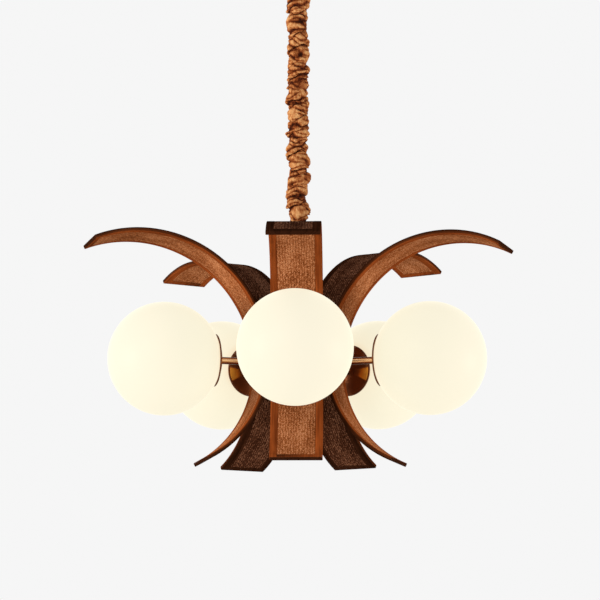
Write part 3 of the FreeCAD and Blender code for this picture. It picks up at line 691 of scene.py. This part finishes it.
ceramic = plain("glazed_ceramic", (0.76, 0.74, 0.69), (0.84, 0.83, 0.79), 0.15, 40.0, 0.03)
frosted = plain("frosted_glass", (0.84, 0.80, 0.70), (0.92, 0.89, 0.80), 0.3, 30.0, 0.05)


def finish_piece(piece, body, slot, look, *stands_for):
    """Gives a piece its material and body, and hides the CAD nodes that it stands for. The slot is
    not used.
    """
    piece.data.materials.append(look)
    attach(piece, body)
    if stands_for:
        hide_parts(*stands_for)


for name, (azimuth, *_) in FRONDS.items():
    finish_piece(frond_strip(name), "fixture", "stained_wood", wood, "frond_" + name)
    finish_piece(frond_panel(name, True), "fixture", "woven_cane", hollow_weave)
    finish_piece(frond_panel(name, False), "fixture", "woven_cane", full_weave)
    finish_piece(globe(name, azimuth), name + "_globe", "opal_glass", opal_glass, "globe_" + name)
    finish_piece(cup(name, azimuth), "fixture", "antique_brass", cup_brass, "cup_" + name)
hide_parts("outer_weaves")
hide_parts("inner_weaves")

sleeve, cloth_area = gathered_sleeve()
finish_piece(sleeve, "sleeved_chain", "hemp_cloth", hemp(), "hemp_sleeve")

carried = {
    plated_steel: ["ceiling_bracket", "pipe_nuts", "hub_pipe_nut", "arm_lock_nuts", "canopy_pipe",
                   "hub_pipe", "cup_pipes"],
    dark_brass: ["canopy", "canopy_loop", "hub_loop", "hub_body", "hub_cover", "finial",
                 "globe_galleries"],
    arm_brass: ["arm_spacers", "saddle_washers", "arm_collar_nuts"],
    tube_with_painted_reflection(): ["arm_" + n for n in FRONDS],
    chain_metal: ["top_link", "chain", "bottom_link"],
    flex_brown: ["flex_ceiling", "flex_top_link", "flex_chain", "flex_bottom_link", "flex_hub"],
    lead_sheath: ["ceiling_leads", "arm_leads"],
    block_plastic: ["terminal_block", "junction_block"],
    ceramic: ["lampholders"],
    frosted: ["bulb_" + n for n in FRONDS],
}
for look, names in carried.items():
    for name in names:
        nodes[name].data.materials.clear()
        nodes[name].data.materials.append(look)


# Stage, lights and camera

def backdrop():
    """Pale floor below, clear to an eye under it, and a plain pale world that lights softly."""
    made, tree, shader = material("floor", (0.8, 0.8, 0.8), 0.9)
    seen = node(tree, "ShaderNodeLightPath").outputs["Is Camera Ray"]
    glow = node(tree, "ShaderNodeEmission", PALE, 1.0)
    share = math(tree, "MULTIPLY", seen, FLOOR_GLOW)
    mix = node(tree, "ShaderNodeMixShader", share, shader.outputs[0], glow.outputs[0])
    under = node(tree, "ShaderNodeNewGeometry").outputs["Backfacing"]
    clear = node(tree, "ShaderNodeBsdfTransparent")
    side = node(tree, "ShaderNodeMixShader", under, mix.outputs[0], clear.outputs[0])
    tree.links.new(side.outputs[0], tree.nodes["Material Output"].inputs["Surface"])
    edge = np.array([-FLOOR_HALF, FLOOR_HALF])
    y, x = np.meshgrid(edge, edge, indexing="ij")
    floor = surface("floor", np.stack([x, y, FLOOR_Z + 0 * x], -1))
    floor.data.materials.append(made)
    world = bpy.data.worlds.new("studio")
    scene.world = world
    world.use_nodes = True
    tree = world.node_tree
    tree.nodes.clear()
    path = node(tree, "ShaderNodeLightPath")
    direct = math(tree, "MAXIMUM", path.outputs["Is Camera Ray"], path.outputs["Is Glossy Ray"])
    direct = math(tree, "MAXIMUM", direct, path.outputs["Is Transmission Ray"])
    soft = node(tree, "ShaderNodeBackground", SOFT, SOFT_STRENGTH)
    pale = node(tree, "ShaderNodeBackground", PALE, 1.0)
    mix = node(tree, "ShaderNodeMixShader", direct, soft.outputs[0], pale.outputs[0])
    node(tree, "ShaderNodeOutputWorld", mix.outputs[0])


def lamp(name, place, aim, size, power, colour):
    """A round area lamp that faces the point it aims at."""
    data = bpy.data.lights.new(name, "AREA")
    data.shape = "DISK"
    data.size = size
    data.energy = power
    data.color = colour
    made = bpy.data.objects.new(name, data)
    scene.collection.objects.link(made)
    place = np.array(place, float)
    back = place - np.array(aim, float)
    back /= np.linalg.norm(back)
    side = np.cross((0, 0, 1), back)
    side /= np.linalg.norm(side)
    turn = np.stack([side, np.cross(back, side), back], 1)
    full = np.eye(4)
    full[:3, :3] = turn
    full[:3, 3] = place
    made.matrix_world = Matrix(full)


def camera():
    """Camera fitted to the globes' outlines: its distance in metres, its angle below the arms,
    its turn about the axis to how the fixture hangs, its focal length in pixels of the frame,
    and the point it looks at, from the arms' level."""
    away, tilt, turn, focal, frame_width = 5.3225, np.radians(7.66), np.radians(1.14), 2977.9, 600
    aim = np.array([0.00365, 0.0, 0.1136])
    forward = np.array([0.0, np.cos(tilt), np.sin(tilt)])
    up = np.array([0.0, -np.sin(tilt), np.cos(tilt)])
    place = aim - away * forward
    axes = np.stack([[1.0, 0.0, 0.0], up, -forward], 1)
    spin = np.array([[np.cos(turn), -np.sin(turn), 0], [np.sin(turn), np.cos(turn), 0], [0, 0, 1]])
    full = np.eye(4)
    full[:3, :3] = spin @ axes
    full[:3, 3] = spin @ place + (0, 0, ARM_Z)
    data = bpy.data.cameras.new("camera")
    data.sensor_width = 36.0
    data.lens = data.sensor_width * focal / frame_width
    data.clip_start, data.clip_end = 0.1, 60.0
    made = bpy.data.objects.new("camera", data)
    scene.collection.objects.link(made)
    made.matrix_world = Matrix(full)
    scene.camera = made


backdrop()
for lamp_name, settings in LAMPS.items():
    lamp(lamp_name, *settings)
camera()
scene.view_settings.view_transform = "Standard"
